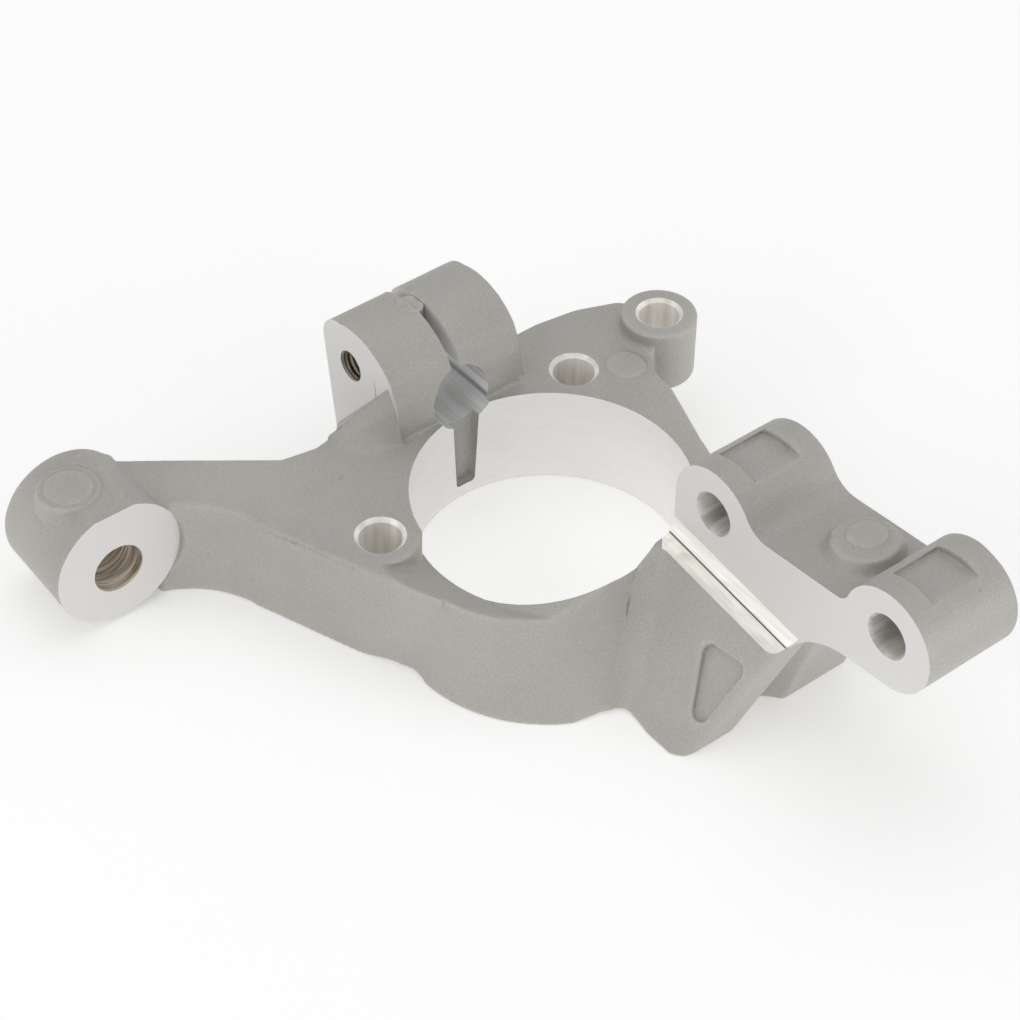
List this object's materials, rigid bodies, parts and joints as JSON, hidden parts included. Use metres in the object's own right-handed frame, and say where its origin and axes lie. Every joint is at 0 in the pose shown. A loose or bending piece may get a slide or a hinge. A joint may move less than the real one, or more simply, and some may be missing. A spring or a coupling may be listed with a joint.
{
  "type": "steering knuckle",
  "caption": "Cast aluminium steering knuckle with a hub opening, steering arm, ball joint clamp, strut bracket and caliper ears.",
  "frame": {"origin": "on the axis of the hub opening, in the plane of the hub face that the wheel bearing bolts to", "axes": "-Z out of the hub face towards the wheel and +Z inboard, +X from the hub axis towards the strut bracket, +Y along the strut bolts and the pinch bolt"},
  "size_m": [0.2558, 0.2331, 0.0885],
  "materials": {
    "cast_aluminium": "as cast and blasted, with bright machined faces and bores"
  },
  "bodies": {
    "root": {"knuckle_casting": "cast_aluminium"}
  },
  "joints": []
}
